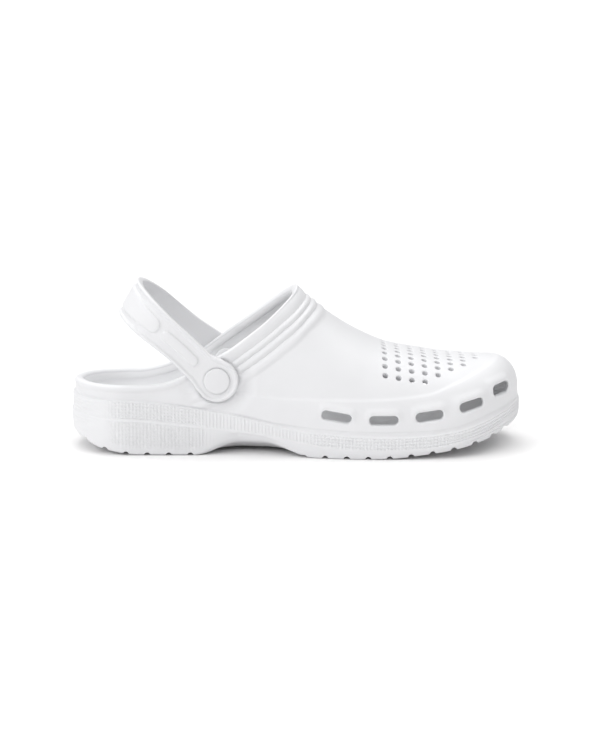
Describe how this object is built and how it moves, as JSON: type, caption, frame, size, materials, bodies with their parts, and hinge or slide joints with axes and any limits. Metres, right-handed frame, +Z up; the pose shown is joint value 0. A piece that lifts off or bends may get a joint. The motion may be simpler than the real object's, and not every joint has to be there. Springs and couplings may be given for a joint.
{
  "type": "foam clog",
  "caption": "Slip-on foam clog for the right foot: perforated toe, side vents, ridged collar, ribbed sole side and a heel strap on round rivets.",
  "frame": {"origin": "on the floor, under the centre of the bounding box", "axes": "+X towards the toe, +Y towards the inner side of the foot, +Z up"},
  "size_m": [0.2862, 0.1032, 0.107],
  "materials": {
    "body_foam": "satin",
    "strap_foam": "satin",
    "button_plastic": "satin"
  },
  "bodies": {
    "root": {"clog_body": "body_foam", "heel_strap": "strap_foam", "rivet_lateral": "button_plastic", "rivet_medial": "button_plastic", "washer_lateral": "button_plastic", "washer_medial": "button_plastic"}
  },
  "joints": []
}
